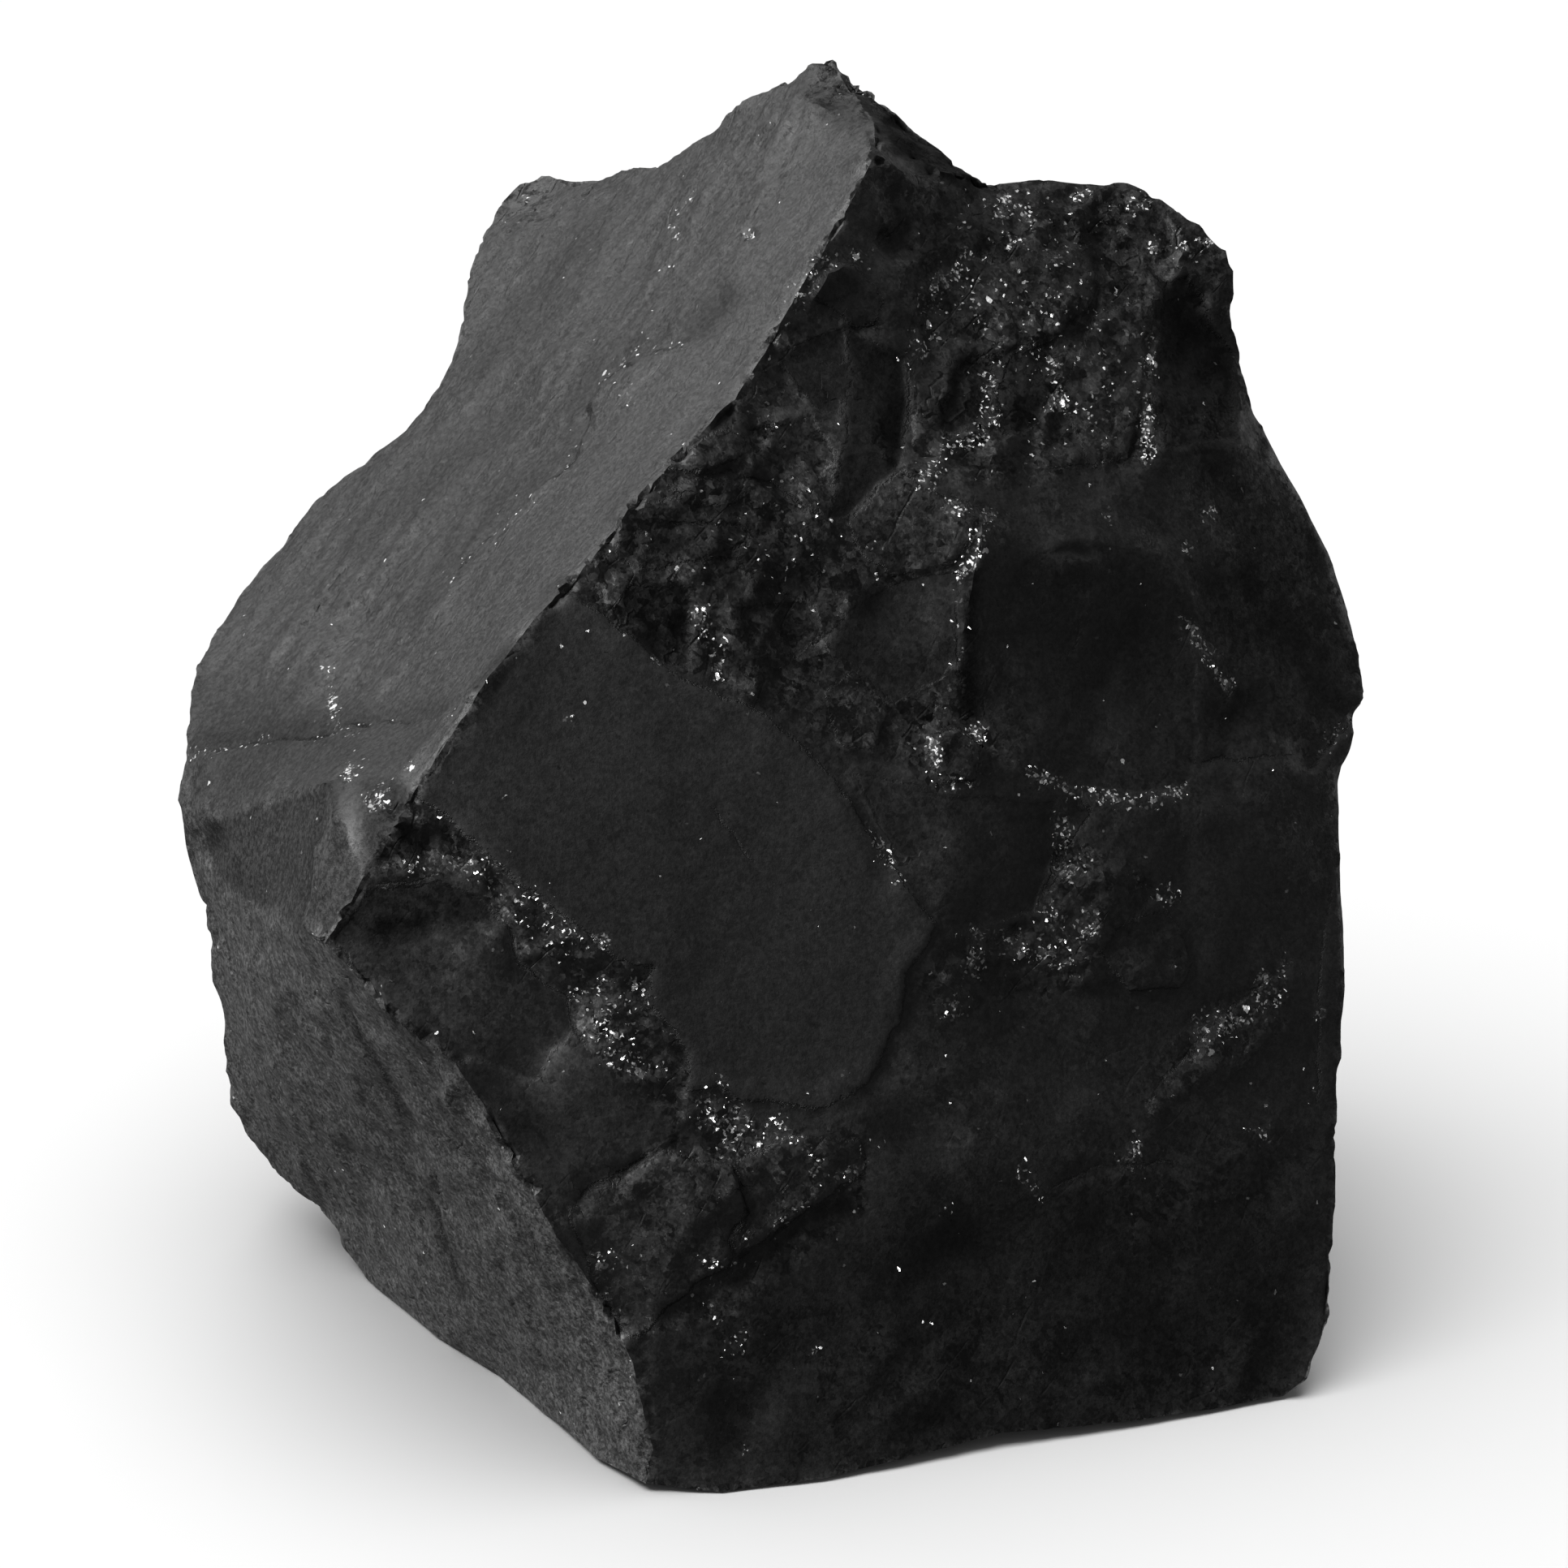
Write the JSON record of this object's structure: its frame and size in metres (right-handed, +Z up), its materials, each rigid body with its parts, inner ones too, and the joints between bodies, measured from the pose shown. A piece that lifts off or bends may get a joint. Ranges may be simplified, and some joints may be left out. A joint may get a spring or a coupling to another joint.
{
  "type": "shungite stone",
  "caption": "Raw broken chunk of black shungite rock with flat break faces, crisp ridges and small bright mineral specks, resting on a flat break.",
  "frame": {"origin": "middle of the stone's box, on the surface that it rests on", "axes": "+Z up from the flat break it rests on, -Y towards the broad show face, +X to the right as that face is seen"},
  "size_m": [0.0608, 0.0592, 0.0604],
  "materials": {
    "shungite": "matt to satin black break faces, with fine glinting specks of quartz and pyrite in the rough parts"
  },
  "bodies": {
    "root": {"shungite_stone": "shungite"}
  },
  "joints": []
}
